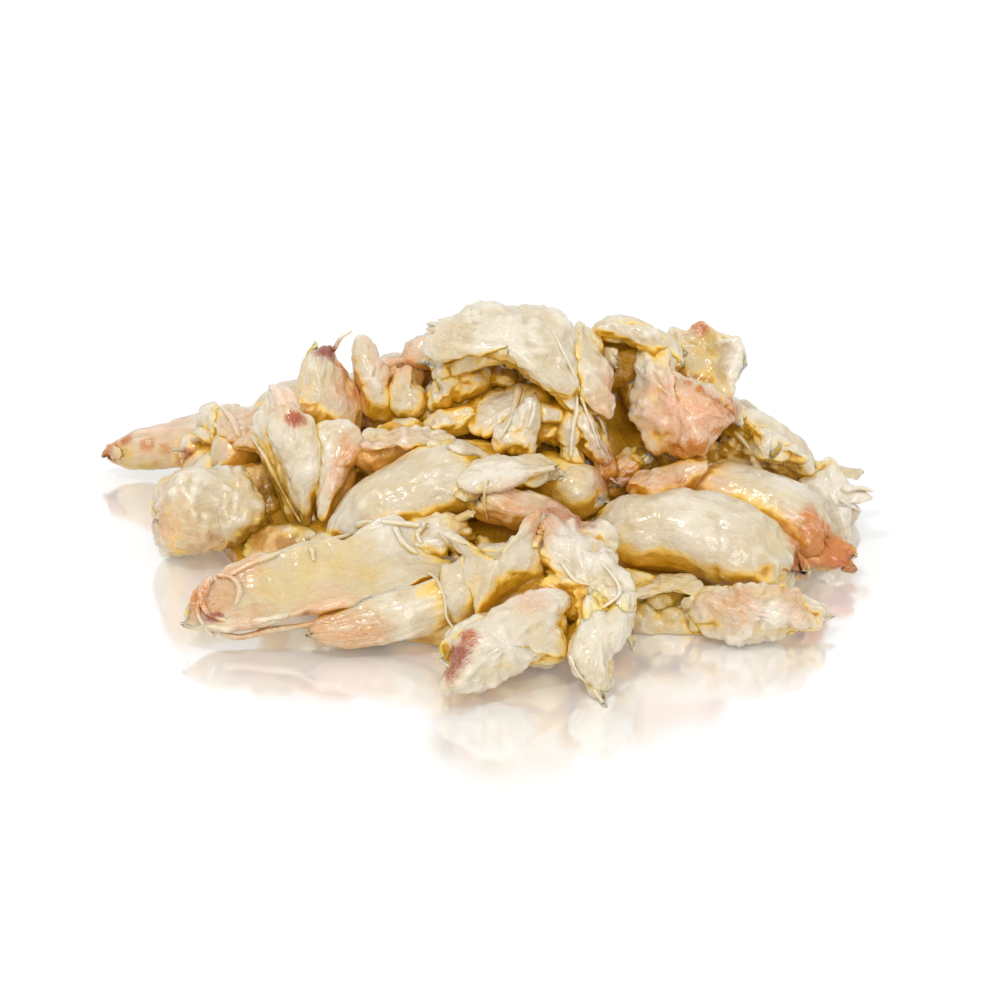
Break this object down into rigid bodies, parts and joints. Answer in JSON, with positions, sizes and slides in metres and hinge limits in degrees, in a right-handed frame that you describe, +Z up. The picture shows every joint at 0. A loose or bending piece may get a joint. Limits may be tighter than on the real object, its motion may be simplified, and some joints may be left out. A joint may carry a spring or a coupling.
{
  "type": "heap of picked blue swimmer crab meat",
  "caption": "Low loose heap of cooked, picked crab meat, with whole lumps, fibrous flakes and torn shreds, resting on a flat surface.",
  "frame": {"origin": "middle of the footprint, on the surface that the heap lies on", "axes": "+Z up, +X along the heap's length to the right of a person in front of it, +Y to its back"},
  "size_m": [0.1596, 0.1215, 0.0513],
  "materials": {
    "crab_flesh": "moist cooked crab flesh, cream white with ochre in the folds and orange to red blushes at some ends"
  },
  "bodies": {
    "root": {"crab_meat": "crab_flesh"}
  },
  "joints": []
}
